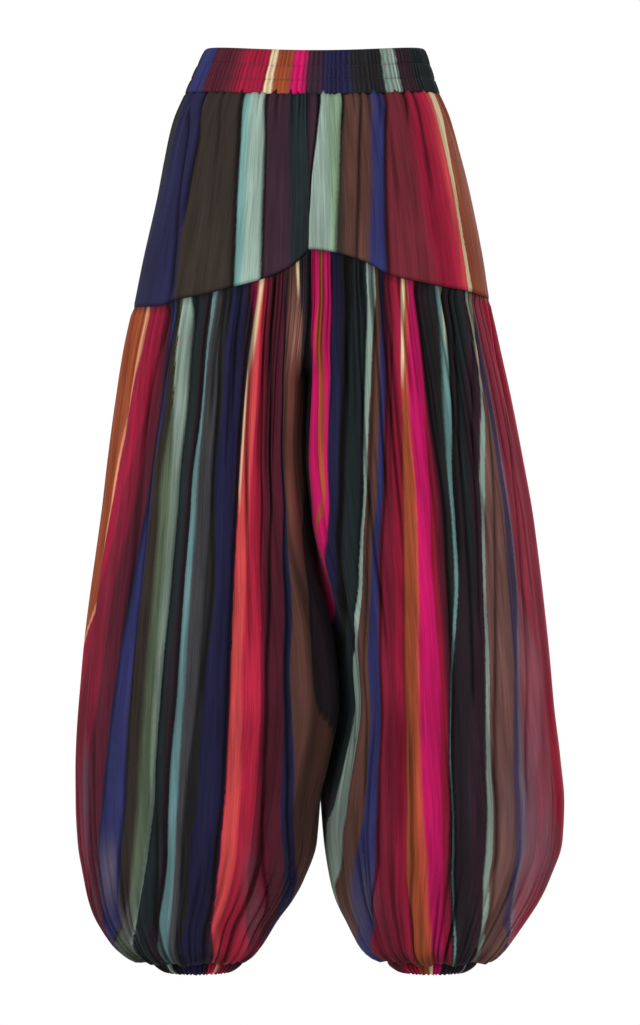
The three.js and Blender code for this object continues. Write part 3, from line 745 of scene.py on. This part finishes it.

# The sharp creases: depth, half width, from which row to which they run, and their
# column on each row
CREASE_ROWS = (325, 400, 490, 580, 680, 800, 860, 920)
LEG_CREASES = {
    "front_right": [
        (0.0016, 0.0024, 270, 640, 163, 147, 136, 128, 113, 100, 98, 104),
        (0.0022, 0.0026, 262, 900, 174, 161, 148, 141, 132, 124, 118),
        (0.0022, 0.0026, 262, 950, 192, 187, 177, 170, 160.5, 152, 145, 136),
        (0.0026, 0.0028, 262, 960, 206, 201, 190, 183, 176.5, 167, 165, 157),
        (0.0020, 0.0024, 262, 700, 221, 219, 213, 213, 203, 196, 189, 185),
        (0.0016, 0.0022, 270, 420, 237, 233, 228, 225, 220, 214, 206, 200),
        (0.0030, 0.0026, 262, 960, 250, 242.5, 237, 232.5, 228.5, 223, 216, 209),
        (0.0018, 0.0018, 262, 560, 265, 262.5, 262, 262, 262, 256, 250, 246),
        (0.0034, 0.0022, 255, 960, 271.5, 271, 271.5, 270, 267, 264, 266, 262),
        (0.0030, 0.0024, 255, 900, 286, 284, 284.5, 287, 288, 289, 290, 286),
        (0.0007, 0.0020, 255, 400, 297, 297, 297, 300, 303, 305, 304),
        (0.0012, 0.0020, 262, 640, 305, 305, 305.5, 310, 317, 330),
    ],
    "front_left": [
        (0.0018, 0.0026, 262, 800, 490, 505, 516, 524, 530, 531, 531, 524),
        (0.0022, 0.0026, 262, 960, 478, 488, 494, 497, 497, 499, 498, 489),
        (0.0018, 0.0022, 262, 620, 471, 475, 478, 480, 481, 482, 481, 478),
        (0.0026, 0.0028, 262, 700, 457, 459, 463, 470, 474, 474, 474, 470),
        (0.0022, 0.0024, 262, 560, 449, 453, 457, 461, 462, 462, 462, 460),
        (0.0030, 0.0026, 262, 960, 422, 430, 443.5, 449, 453.5, 454, 455),
        (0.0014, 0.0014, 420, 960, 403, 402.5, 403.2, 404.2, 404.8, 406.7, 406.3, 411.7),
        (0.0014, 0.0018, 255, 500, 393, 391, 391, 394, 394, 396, 394, 396),
        (0.0026, 0.0024, 262, 960, 387, 387, 385, 381, 381, 379, 378, 371),
        (0.0022, 0.0022, 258, 800, 375, 373, 370, 367, 364, 362, 353, 355),
        (0.0024, 0.0022, 258, 800, 366, 363.5, 362.5, 357.5, 351.5, 345, 340, 342),
        (0.0032, 0.0040, 255, 640, 349, 345, 341, 339, 334, 334, 334, 338),
        (0.0014, 0.0018, 255, 420, 332, 329, 326.5, 328.5, 328, 328, 328, 330),
    ],
}

# Pale flecks of undyed cloth: half width in columns, from which row to which they run, and
# their column on each row
FLECK_ROWS = (265, 295, 325, 400, 490)
LEG_FLECKS = {
    "front_right": [
        (2.6, 250, 375, 264, 259.5, 255.5, 246.5, 240),
        (1.1, 330, 520, 263, 258, 254, 245.7, 239.6),
        (1.5, 250, 305, 297.5, 299, 301, 303, 304),
    ],
    "front_left": [
        (1.7, 255, 395, 403.5, 403, 402.8, 402.5, 403),
        (1.0, 255, 360, 440, 442, 444, 448, 453),
        (1.0, 255, 400, 467, 472, 477, 482, 485),
    ],
}

# Patches where the lower legs let more light through: column, row, half width, half height
# and how much
SHEER_PATCHES = {
    "front_right": [
        (84, 790, 6, 75, 0.45),
        (107, 875, 9, 34, 0.60),
        (126, 928, 10, 26, 0.45),
        (251, 895, 11, 55, 0.30),
    ],
    "front_left": [
        (536, 790, 15, 110, 0.30),
        (533, 805, 5, 55, 0.30),
        (549, 850, 9, 40, 0.26),
        (508, 800, 7, 60, 0.22),
        (362, 900, 13, 42, 0.34),
        (334, 825, 13, 40, 0.25),
    ],
}

# Patches of the front painted brighter, as painted light coming through the cloth, in the same
# order
GLOW_PATCHES = {
    "front_right": [(297, 420, 9, 120, 3.2)],
    "front_left": [(322, 430, 7, 90, 0.4)],
    "back_left": [],
    "back_right": [],
}

# The main folds: share at the yoke and at the cuff, depth, half width, and from where
# to where they run down
LEG_FOLDS = {
    "front_right": [
        (0.10, 0.08, 0.0045, 0.015, 0.12, 0.90),
        (0.31, 0.22, 0.0052, 0.018, 0.00, 1.00),
        (0.42, 0.38, 0.0050, 0.014, 0.05, 1.00),
        (0.53, 0.49, 0.0040, 0.014, 0.00, 0.85),
        (0.61, 0.56, 0.0050, 0.015, 0.00, 1.00),
        (0.70, 0.66, 0.0052, 0.015, 0.00, 1.00),
        (0.77, 0.71, 0.0050, 0.014, 0.05, 0.90),
        (0.87, 0.81, 0.0040, 0.017, 0.00, 0.80),
    ],
    "front_left": [
        (0.09, 0.11, 0.0040, 0.015, 0.10, 0.85),
        (0.19, 0.28, 0.0050, 0.018, 0.00, 1.00),
        (0.31, 0.41, 0.0050, 0.014, 0.04, 0.90),
        (0.43, 0.49, 0.0054, 0.016, 0.00, 1.00),
        (0.56, 0.64, 0.0045, 0.014, 0.00, 0.80),
        (0.65, 0.78, 0.0046, 0.016, 0.05, 1.00),
        (0.75, 0.90, 0.0056, 0.018, 0.00, 0.90),
        (0.90, 0.94, 0.0045, 0.015, 0.02, 0.70),
    ],
}
for table in (LEG_CHARTS, LEG_CREASES, LEG_FLECKS, SHEER_PATCHES, LEG_FOLDS):
    table["back_left"], table["back_right"] = table["front_right"], table["front_left"]

LEG_GRID = (100, 320)
FOOT_CROWDING = 1.6
LEG_REACH = 0.42
LEG_LENGTH = 0.80
LEG_FULLNESS = 0.0008
# Soft waves across the leg: height, waves, how far and how often they bend, and whether they
# start elsewhere on each piece
LEG_WAVES = ((0.0010, 61, 0.6, 4, 1), (0.0006, 97, 0.5, 5, 0))
LEG_TOP_EASE, LEG_TOP_START, LEG_FOOT_EASE = 0.005, 0.2, 0.006
PARTED_INSEAM = 0.02
FOOT_SPARED = 0.01
# How deep a crease, a tuck, a fold and a seam's turn are where their painted shade is darkest
LEG_CREASE_DARK, TUCK_DARK, FOLD_DARK, LEG_TURN_DARK = 0.0030, 0.0045, 0.018, 0.002
LEG_SHEER, LOWER_SHEER, LOWER_FROM, LOWER_OVER = 0.05, 0.20, 0.45, 0.4
VALLEY_CLOSES = 0.7
FLECK_START_ROWS, FLECK_END_ROWS = 12, 40
TOP_TUCKS = 46
FOOT_TUCKS = 30
TUCK_SHIFT, TUCK_DRIFT = 0.33, 0.008
TUCK_DEPTHS, TUCK_HALF_WIDTHS = (0.0010, 0.0034), (0.0015, 0.0030)
TUCK_LENGTH, SHORTEST_TUCK = 0.16, 0.05
FOOT_TUCK_SHARE, LONGEST_FOOT_TUCK = 0.7, 0.3
FOOT_SHADE, FOOT_SHADE_ROW, FOOT_SHADE_ROWS = 0.6, 944, 18
# The cloth hangs unevenly over the cuff: by how much, from which row, and its waves
FOOT_DROOP, DROOP_ROW, DROOP_ROWS, DROOP_EASE = 0.0055, 925, 28, 0.0035
DROOP_MEAN, DROOP_WAVES = 0.6, ((0.25, 31, 1), (0.15, 83, 0))


def small_tucks(count, seed, at_foot):
    """Small uneven tucks at a gathered edge, as crease rows: their places are a regular row
    with each one moved by up to a third of a step, and their depths and lengths differ."""
    draw = np.random.default_rng(seed)
    places = (np.arange(count) + 0.5 + draw.uniform(-TUCK_SHIFT, TUCK_SHIFT, count)) / count
    drift = draw.normal(0, TUCK_DRIFT, count)
    depths = draw.uniform(*TUCK_DEPTHS, count)
    half_widths = draw.uniform(*TUCK_HALF_WIDTHS, count)
    lengths = draw.exponential(TUCK_LENGTH, count) + SHORTEST_TUCK
    if at_foot:
        starts = 1 - np.minimum(lengths * FOOT_TUCK_SHARE, LONGEST_FOOT_TUCK)
        ends = np.ones(count) * 1.2
    else:
        starts, ends = np.zeros(count) - 0.1, lengths
    return list(zip(places, places + drift, depths, half_widths, starts, ends))


def patches_at(patches, column, row, power):
    """The sum of the patches at each point. Each falls off as e to the minus of its distance
    across, in half widths, and down, in half heights, both raised to the power."""
    return sum(amount * np.exp(-((column - at_column) / half_width) ** power
                               - ((row - at_row) / half_height) ** power)
               for at_column, at_row, half_width, half_height, amount in patches)


for name, quarter in QUARTERS.items():
    share, down = grid(*LEG_GRID)
    down = 0.5 * down + 0.5 * (1 - (1 - down) ** FOOT_CROWDING)
    hem = hem_height(quarter, share)
    height = hem + (LEG_FOOT - hem) * down
    column, row = seen_at(quarter, cloth_point(quarter, share, height, np.zeros_like(share)))
    broad = crease_depth(LEG_FOLDS[name], share, down, LEG_REACH)
    creases = LEG_CREASES[name]
    lines = shares_at(quarter, CREASE_ROWS, [crease[4:] for crease in creases])
    narrow = long_creases(creases, CREASE_ROWS, lines, LEG_REACH, share, row)
    tucks = crease_depth(small_tucks(TOP_TUCKS, quarter["seed"], False), share, down, LEG_REACH)
    tucks += crease_depth(small_tucks(FOOT_TUCKS, quarter["seed"] + 1, True), share, down,
                          LEG_REACH)
    waves = sum(
        deep * np.sin(share * count + bend * np.sin(down * often) + apart * quarter["seed"])
        for deep, count, bend, often, apart in LEG_WAVES)
    from_top = hem - height
    from_foot = height - LEG_FOOT
    at_edge = (smooth(np.minimum(share, 1 - share) * LEG_REACH / EDGE_EASE)
               * smooth(from_top / LEG_TOP_EASE + LEG_TOP_START)
               * smooth(from_foot / LEG_FOOT_EASE))
    parted = PARTED_INSEAM * oval_at(quarter["face"], height)["apart"]
    turn = seam_turn(share * LEG_REACH, (1 - share) * LEG_REACH + parted, from_top,
                     from_foot + FOOT_SPARED)
    out = at_edge * (LEG_FULLNESS + waves - broad - narrow - tucks) - turn
    points = cloth_point(quarter, share, height, out)
    uneven = DROOP_MEAN + sum(part * np.sin(share * count + apart * quarter["seed"])
                              for part, count, apart in DROOP_WAVES)
    points[..., 2] -= (FOOT_DROOP * uneven * smooth((row - DROOP_ROW) / DROOP_ROWS)
                       * smooth(from_foot / DROOP_EASE))
    cloth = np.stack([share * LEG_REACH, down * LEG_LENGTH], axis=-1)
    chart = LEG_CHARTS[name]
    starts = np.maximum.accumulate(
        shares_at(quarter, LEG_ROWS, [stripe[2:] for stripe in chart]))
    # Painted shade in the creases, tucks and folds and at the seams, darker as they go deeper
    valley_shade = np.clip(narrow / LEG_CREASE_DARK + tucks / TUCK_DARK + broad / FOLD_DARK
                     + turn / LEG_TURN_DARK, 0, 1)
    sheer = LEG_SHEER + LOWER_SHEER * smooth((down - LOWER_FROM) / LOWER_OVER)
    sheer += patches_at(SHEER_PATCHES[name], column, row, 2)
    sheer *= 1 - VALLEY_CLOSES * valley_shade
    # Painted light: the glow patches take away painted shade and go past it, so the colour is
    # painted brighter
    valley_shade -= patches_at(GLOW_PATCHES[name], column, row, 4)
    # Painted shade at the foot, where the cloth hangs over the cuff
    shade = FOOT_SHADE * smooth((row - FOOT_SHADE_ROW) / FOOT_SHADE_ROWS)
    valley_shade = np.minimum(1, valley_shade + shade)
    fleck = np.zeros_like(share)
    for half_width, start, end, *columns in LEG_FLECKS[name]:
        off_line = (column - curve(row, FLECK_ROWS, columns)) / half_width
        fleck += (np.exp(-off_line ** 4) * smooth((row - start) / FLECK_START_ROWS)
                  * smooth((end - row) / FLECK_END_ROWS))
    leg = cloth_object(
        "leg_cloth_" + name, points, cloth, chart_at(starts, LEG_ROWS, share, row),
        {"valley_shade": valley_shade, "sheer": sheer, "fleck": np.minimum(1, fleck)}, CLOTH_THICKNESS,
        quarter["leg"] == -quarter["face"])
    leg.data.materials.append(printed_cloth("leg_print_" + name, chart, starts, LEG_REACH))
    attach(leg, "root")
    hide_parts("leg_" + name)

# Waistband: one strip of the same cloth folded over a wide elastic and stitched through in two
# rows, so that it puffs in three channels and puckers all round.
# Each stripe of the band and cuffs: its dye, how far its edge runs, and its start round the turn
BAND_CHART = [
    ("maroon", 0.0010, 0.000),
    ("navy", 0.0020, 0.045),
    ("mint", 0.0010, 0.100),
    ("brown", 0.0015, 0.128),
    ("magenta", 0.0020, 0.175),
    ("maroon", 0.0040, 0.215),
    ("blue", 0.0020, 0.275),
    ("olive", 0.0030, 0.330),
    ("cream", 0.0010, 0.385),
    ("rust", 0.0010, 0.400),
    ("plum", 0.0030, 0.440),
    ("black_olive", 0.0020, 0.485),
    ("blue", 0.0020, 0.5365),
    ("maroon", 0.0020, 0.585),
    ("deep_crimson", 0.0100, 0.6435),
    ("cream", 0.0010, 0.688),
    ("rust", 0.0010, 0.6995),
    ("magenta", 0.0015, 0.7215),
    ("plum", 0.0040, 0.7405),
    ("navy", 0.0050, 0.763),
    ("black_olive", 0.0040, 0.7995),
    ("mint", 0.0010, 0.8475),
    ("plum", 0.0010, 0.8735),
    ("dark_green", 0.0060, 0.9075),
]
# Heights of the band's section, and the share of the puff that each has
BAND_HEIGHTS = (0.024, 0.0228, 0.0155, 0.0072, 0.0058, 0.0044, -0.0020, -0.0082, -0.0096,
                -0.0110, -0.0180, -0.0245, -0.0260)
BAND_PUFFS = (0.10, 0.60, 1.0, 0.85, 0.4, 0.85, 1.0, 0.85, 0.4, 0.85, 1.0, 0.85, 0.25)
BAND_GRID = (32, 1404)
BAND_AROUND = 0.80
BAND_DEEP = 0.052
BAND_PUCKERS = 156
BAND_PUFF = 0.0026
LEAST_PUFF = 0.45
UPPER_CHANNEL_FOOT = 0.0065
PUCKER_SHADE, GROOVE_SHADE = 0.62, 0.3
CASING_THICKNESS = 0.0012


def band_point(turn, height, out):
    """A point of the waistband: an oval of the figure's half width and depth, whose front dips
    as the square of the sine of its turn."""
    section = section_at(height)
    in_front = np.sin(turn) < 0
    depth = np.where(in_front, section["front"], section["back"])
    x = (section["side"] + out) * np.cos(turn) + section["sway"]
    y = (depth + out) * np.sin(turn)
    return np.stack([x, y, height - np.where(in_front, FRONT_DIP * np.sin(turn) ** 2, 0)], -1)


rows, columns = BAND_GRID
band_starts = [(start, start) for _, _, start in BAND_CHART]
share, down = np.meshgrid(np.arange(columns + 1) / columns, np.linspace(0, 1, rows))
height = BAND_HEIGHTS[0] + (BAND_HEIGHTS[-1] - BAND_HEIGHTS[0]) * down
puff = curve(height, BAND_HEIGHTS, BAND_PUFFS)
turn = share * 2 * np.pi
channel = np.where(height > UPPER_CHANNEL_FOOT, 0, 1)
# The puckers' places wander by waves that don't come round together
phase = (turn * BAND_PUCKERS + 0.9 * np.sin(turn * 31 + 0.4 * channel)
         + 0.8 * np.sin(turn * 17) + 0.3 * np.sin(height * 500 + turn * 5))
pucker = 0.5 - 0.5 * np.cos(phase)
uneven = 0.75 + 0.25 * np.sin(turn * 23 + 2 * channel)
out = BAND_PUFF * puff * (LEAST_PUFF + (1 - LEAST_PUFF) * pucker * uneven)
points = band_point(turn, height, out)[:, :columns]
cloth = np.stack([share * BAND_AROUND, down * BAND_DEEP], axis=-1)
# Painted shade in the puckers and in the grooves between the channels
valley_shade = np.clip((1 - pucker) ** 3 * uneven * PUCKER_SHADE + (1 - puff) * GROOVE_SHADE, 0, 1)
band = cloth_object(
    "waistband_cloth", points, cloth, chart_at(band_starts, (0, 1), share, down),
    {"valley_shade": valley_shade[:, :columns], "sheer": 0.0}, CASING_THICKNESS, False, closed=True)
band.data.materials.append(printed_cloth("waistband_print", BAND_CHART, band_starts, BAND_AROUND))
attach(band, "root")
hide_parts("waistband")

# Cuffs: narrow casings of the same cloth round a thin elastic, which draw the full legs in at
# the ankles. Each is shirred tight all round.
CUFF_CHARTS = {
    "right": [
        ("black", 0.001, 0.000),
        ("maroon", 0.002, 0.200),
        ("navy", 0.002, 0.320),
        ("black", 0.001, 0.430),
        ("mint", 0.001, 0.629),
        ("black", 0.001, 0.656),
        ("navy", 0.002, 0.695),
        ("dark_plum", 0.001, 0.775),
        ("crimson", 0.001, 0.794),
        ("cream", 0.0006, 0.820),
        ("deep_crimson", 0.0006, 0.832),
        ("maroon", 0.002, 0.866),
        ("dark_plum", 0.002, 0.910),
    ],
    "left": [
        ("black", 0.001, 0.000),
        ("plum", 0.002, 0.150),
        ("mint", 0.001, 0.300),
        ("navy", 0.001, 0.330),
        ("black", 0.002, 0.450),
        ("maroon", 0.001, 0.530),
        ("deep_crimson", 0.002, 0.620),
        ("rust", 0.002, 0.695),
        ("cream", 0.0008, 0.731),
        ("magenta", 0.0006, 0.748),
        ("dark_plum", 0.001, 0.777),
        ("silver", 0.0006, 0.874),
        ("dark_plum", 0.0006, 0.882),
    ],
}
CUFF_GRID = (16, 600)
CUFF_CENTRE = 0.132
CUFF_HALF_WIDTH = 0.049
CUFF_DEPTH = 0.038
CUFF_TAPER = 0.011
CUFF_TOP = -0.9985
CUFF_FOOT = -1.0115
CUFF_AROUND = 0.275
CUFF_DEEP = 0.018
CUFF_SHIRRS = 52
CUFF_PUFF = 0.0028
LEAST_CUFF_PUFF = 0.35
SCALLOP, SCALLOPS_FROM = 0.0007, 0.6
SHIRR_SHADE = 0.7

for side, leg_side in (("left", 1), ("right", -1)):
    rows, columns = CUFF_GRID
    chart = CUFF_CHARTS[side]
    starts = [(start, start) for _, _, start in chart]
    share, down = np.meshgrid(np.arange(columns + 1) / columns, np.linspace(0, 1, rows))
    turn = share * 2 * np.pi
    height = CUFF_TOP + (CUFF_FOOT - CUFF_TOP) * down
    phase = turn * CUFF_SHIRRS + 1.1 * np.sin(turn * 13 + leg_side) + 0.7 * np.sin(turn * 29)
    shirr = 0.5 - 0.5 * np.cos(phase)
    puff = np.sqrt(np.clip(1 - (2 * down - 1) ** 2, 0, 1))
    out = CUFF_PUFF * puff * (LEAST_CUFF_PUFF + (1 - LEAST_CUFF_PUFF) * shirr)
    at_foot = smooth((down - SCALLOPS_FROM) / (1 - SCALLOPS_FROM))
    height = height + SCALLOP * at_foot * np.sin(phase)
    x = (CUFF_HALF_WIDTH - CUFF_TAPER * down ** 2 + out) * np.cos(turn) + CUFF_CENTRE * leg_side
    y = (CUFF_DEPTH + out) * np.sin(turn)
    points = np.stack([x, y, height], axis=-1)[:, :columns]
    cloth = np.stack([share * CUFF_AROUND, down * CUFF_DEEP], axis=-1)
    # Painted shade between the shirred gathers
    valley_shade = (1 - shirr) * SHIRR_SHADE
    cuff = cloth_object(
        "cuff_cloth_" + side, points, cloth, chart_at(starts, (0, 1), share, down),
        {"valley_shade": valley_shade[:, :columns], "sheer": 0.0}, CASING_THICKNESS, False, closed=True)
    cuff.data.materials.append(
        printed_cloth("cuff_print_" + side, chart, starts, CUFF_AROUND))
    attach(cuff, "root")
    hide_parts("cuff_" + side)

# Stitching: two rows of dark thread through the waistband's elastic, one in each groove
# between its channels, in even short stitches.
STITCH_ROWS = (0.0058, -0.0096)
STITCHES = 240
STITCH_FILL = 0.7
STITCH_RADIUS = 0.00028
STITCH_OUT = 0.0014
# Each stitch is a short rod of rings with so many sides, thinner at its ends
STITCH_GIRTHS = np.array([0.25, 0.9, 1.0, 0.9, 0.25])
STITCH_SIDES = 6

rings = len(STITCH_GIRTHS)
stitch, along, around = np.meshgrid(
    np.arange(STITCHES * len(STITCH_ROWS)), np.arange(rings), np.arange(STITCH_SIDES),
    indexing="ij")
row_height = np.array(STITCH_ROWS)[stitch // STITCHES]
middle = (stitch % STITCHES) / STITCHES * 2 * np.pi
reach = (along / (rings - 1) - 0.5) * STITCH_FILL * 2 * np.pi / STITCHES
girth = STITCH_RADIUS * STITCH_GIRTHS[along]
angle = around / STITCH_SIDES * 2 * np.pi
arch = STITCH_OUT * (0.6 + 0.4 * np.cos(reach * STITCHES / 2 * np.pi))
points = band_point(middle + reach, row_height + girth * np.cos(angle),
                    arch + girth * np.sin(angle))
first = np.arange(STITCHES * len(STITCH_ROWS))[:, None, None] * rings * STITCH_SIDES
ring, step = np.meshgrid(np.arange(rings - 1), np.arange(STITCH_SIDES), indexing="ij")
following = (step + 1) % STITCH_SIDES
quad = np.stack([ring * STITCH_SIDES + step, ring * STITCH_SIDES + following,
                 (ring + 1) * STITCH_SIDES + following, (ring + 1) * STITCH_SIDES + step], -1)
sides = (first + quad.reshape(1, -1, 4)).reshape(-1, 4)
end = np.arange(STITCH_SIDES)
cap = np.stack([end[::-1], end + (rings - 1) * STITCH_SIDES])
caps = (first + cap[None]).reshape(-1, STITCH_SIDES)
stitch_mesh = bpy.data.meshes.new("waistband_stitches")
stitch_mesh.from_pydata(points.reshape(-1, 3), [], [*sides.tolist(), *caps.tolist()])
stitch_mesh.shade_smooth()
stitches = bpy.data.objects.new("waistband_stitches", stitch_mesh)
bpy.context.collection.objects.link(stitches)
thread = bpy.data.materials.new("dark_thread")
thread.use_nodes = True
thread_tree = thread.node_tree
thread_place = add_node(thread_tree, "ShaderNodeTexCoord").outputs["Object"]
twist = add_node(thread_tree, "ShaderNodeTexNoise", None,
                 {"Vector": thread_place, "Scale": 2600, "Detail": 1})
thread_colour = add_node(thread_tree, "ShaderNodeValToRGB", None, {"Fac": twist.outputs["Fac"]})
thread_colour.color_ramp.elements[0].color = (0.02, 0.012, 0.022, 1)
thread_colour.color_ramp.elements[1].color = (0.11, 0.07, 0.10, 1)
thread_shader = thread_tree.nodes["Principled BSDF"]
thread_tree.links.new(thread_colour.outputs["Color"], thread_shader.inputs["Base Color"])
thread_shader.inputs["Roughness"].default_value = 0.55
stitch_mesh.materials.append(thread)
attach(stitches, "root")

# Floor: a pale round board under the trousers, which hang clear of it.
FLOOR_HEIGHT = -1.16
FLOOR_RADIUS = 0.60
FLOOR_SIDES = 96
turn = np.arange(FLOOR_SIDES) / FLOOR_SIDES * 2 * np.pi
floor_points = np.stack([FLOOR_RADIUS * np.cos(turn), FLOOR_RADIUS * np.sin(turn),
                         np.full(FLOOR_SIDES, FLOOR_HEIGHT)], axis=-1)
floor_mesh = bpy.data.meshes.new("floor")
floor_mesh.from_pydata(floor_points, [], [list(range(FLOOR_SIDES))])
floor = bpy.data.objects.new("floor", floor_mesh)
bpy.context.collection.objects.link(floor)
floor_material = bpy.data.materials.new("floor_paint")
floor_material.use_nodes = True
floor_shader = floor_material.node_tree.nodes["Principled BSDF"]
floor_shader.inputs["Base Color"].default_value = (0.88, 0.88, 0.88, 1)
floor_shader.inputs["Roughness"].default_value = 0.9
floor_mesh.materials.append(floor_material)

# Light: a white studio all round, a large soft key lamp from the upper left in front and a
# smaller one behind, so that the ridges catch light and the sheer cloth glows a little.
LIT_POINT = (0, 0, -0.5)
world = bpy.data.worlds.new("studio")
bpy.context.scene.world = world
world.use_nodes = True
sky = world.node_tree
camera_ray = add_node(sky, "ShaderNodeLightPath").outputs["Is Camera Ray"]
strength = add_node(sky, "ShaderNodeMapRange", None,
                    {"Value": camera_ray, "To Min": 0.52, "To Max": 1.0}).outputs[0]
sky.links.new(strength, sky.nodes["Background"].inputs["Strength"])
sky.nodes["Background"].inputs["Color"].default_value = (1, 1, 1, 1)


def soft_lamp(name, place, size, power):
    """A square area lamp at a place, turned to the middle of the trousers."""
    data = bpy.data.lights.new(name, "AREA")
    data.size = size
    data.energy = power
    lamp = bpy.data.objects.new(name, data)
    lamp.location = place
    away = np.array(place) - np.array(LIT_POINT)
    flat = math.hypot(away[0], away[1])
    lamp.rotation_euler = (math.atan2(flat, away[2]), 0, math.atan2(away[0], -away[1]))
    bpy.context.collection.objects.link(lamp)


soft_lamp("key_lamp", (-1.7, -2.6, 0.9), 1.4, 58)
soft_lamp("back_lamp", (1.5, 2.4, 0.8), 1.6, 40)
bpy.context.scene.view_settings.view_transform = "Standard"

# Camera: level with the middle of the trousers, straight in front of them.
CAMERA_LENS = 124.83
camera_data = bpy.data.cameras.new("camera")
camera_data.lens = CAMERA_LENS
camera = bpy.data.objects.new("camera", camera_data)
camera.location = (EYE_X, -EYE_DISTANCE, EYE_Z)
camera.rotation_euler = (math.pi / 2, 0, 0)
bpy.context.collection.objects.link(camera)
bpy.context.scene.camera = camera
